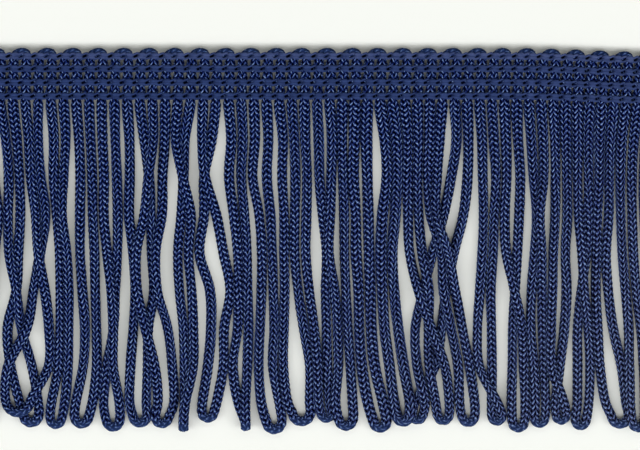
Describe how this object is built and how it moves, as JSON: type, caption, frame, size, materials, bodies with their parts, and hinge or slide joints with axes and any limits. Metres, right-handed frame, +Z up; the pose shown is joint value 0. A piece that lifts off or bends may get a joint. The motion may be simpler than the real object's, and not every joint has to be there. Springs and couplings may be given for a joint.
{
  "type": "loop fringe trim",
  "caption": "Length of sew-on trim: a knitted cord looped into long hanging loops, held along the top by rows of chain stitch with a scalloped edge above.",
  "frame": {"origin": "back of the second chain row from the top, at mid length, on the surface the trim lies on", "axes": "+X along the trim, +Y from the loops to the heading, +Z up out of the face"},
  "size_m": [0.186, 0.1016, 0.0066],
  "materials": {
    "cord_yarn": "lustrous knitted cord",
    "chain_yarn": "matte yarn"
  },
  "bodies": {
    "root": {"loop_fringe": "cord_yarn", "chain_row_1": "chain_yarn", "chain_row_2": "chain_yarn", "chain_row_3": "chain_yarn", "chain_row_4": "chain_yarn"}
  },
  "joints": []
}
